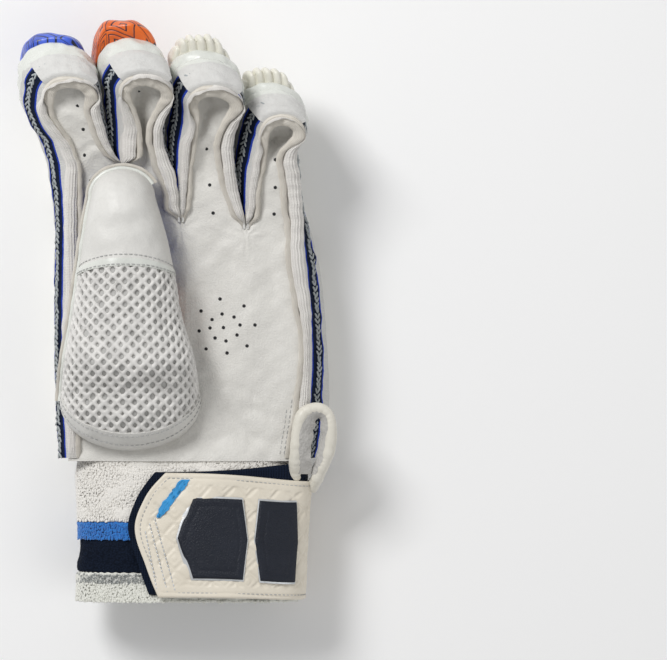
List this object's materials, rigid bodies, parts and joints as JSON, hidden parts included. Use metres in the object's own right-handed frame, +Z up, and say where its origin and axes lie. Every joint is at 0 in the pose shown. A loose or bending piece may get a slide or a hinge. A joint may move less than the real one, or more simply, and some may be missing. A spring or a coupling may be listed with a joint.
{
  "type": "batting glove",
  "caption": "left-hand cricket batting glove with padded finger rolls, leather palm, mesh thumb, knitted cuff and strap closure, lying palm up",
  "frame": {"origin": "on the floor under the middle of the glove's box", "axes": "+X from the thumb side to the little finger, +Y from the wrist to the fingertips, +Z up from the padded back to the palm"},
  "size_m": [0.159, 0.2898, 0.0751],
  "materials": {
    "leather": "grained, matte",
    "binding": "ribbed tape, matte",
    "side_knit": "knitted tape with a chain stitch, matte",
    "white_pu": "smooth coated leather, satin",
    "blue_pu": "coated leather with a printed key pattern, satin",
    "orange_pu": "coated leather with a printed key pattern, satin",
    "cream_pu": "smooth coated leather, satin",
    "strap_pu": "embossed coated leather, satin",
    "mesh": "open spacer mesh, matte",
    "terry": "terry knit, matte",
    "grey_terry": "terry knit, matte",
    "navy_knit": "ribbed elastic knit, matte",
    "blue_knit": "ribbed knit, matte",
    "navy_plastic": "moulded, satin",
    "blue_plastic": "printed, satin",
    "suede": "brushed, matte"
  },
  "bodies": {
    "root": {"palm_leather": "leather", "back_panel": "cream_pu", "index_binding": "binding", "index_gusset": "side_knit", "index_tab": "white_pu", "index_tip_band": "white_pu", "index_tip_roll": "blue_pu", "index_mid_roll": "cream_pu", "index_base_roll": "cream_pu", "index_hand_roll": "cream_pu", "middle_binding": "binding", "middle_gusset": "side_knit", "middle_tab": "white_pu", "middle_tip_band": "white_pu", "middle_tip_roll": "orange_pu", "middle_mid_roll": "cream_pu", "middle_base_roll": "cream_pu", "middle_hand_roll": "cream_pu", "ring_binding": "binding", "ring_gusset": "side_knit", "ring_tab": "white_pu", "ring_tip_band": "white_pu", "ring_tip_roll": "cream_pu", "ring_mid_roll": "cream_pu", "ring_base_roll": "cream_pu", "ring_hand_roll": "cream_pu", "little_binding": "binding", "little_gusset": "side_knit", "little_tab": "white_pu", "little_tip_band": "white_pu", "little_tip_roll": "cream_pu", "little_mid_roll": "cream_pu", "little_base_roll": "cream_pu", "little_hand_roll": "cream_pu", "thumb_leather": "leather", "thumb_seam_tape": "white_pu", "thumb_mesh": "mesh", "thumb_hem": "white_pu", "thumb_back": "cream_pu", "thumb_piping": "white_pu", "thumb_guard_tip": "blue_pu", "thumb_guard_base": "orange_pu", "cuff_terry": "terry", "cuff_blue_band": "blue_knit", "cuff_navy_band": "navy_knit", "cuff_hem": "grey_terry", "elastic_strap": "navy_knit", "closure_strap": "strap_pu", "strap_panel_left": "navy_plastic", "strap_panel_right": "navy_plastic", "strap_flash": "blue_plastic", "wrist_loop": "strap_pu", "loop_lining": "suede"}
  },
  "joints": []
}
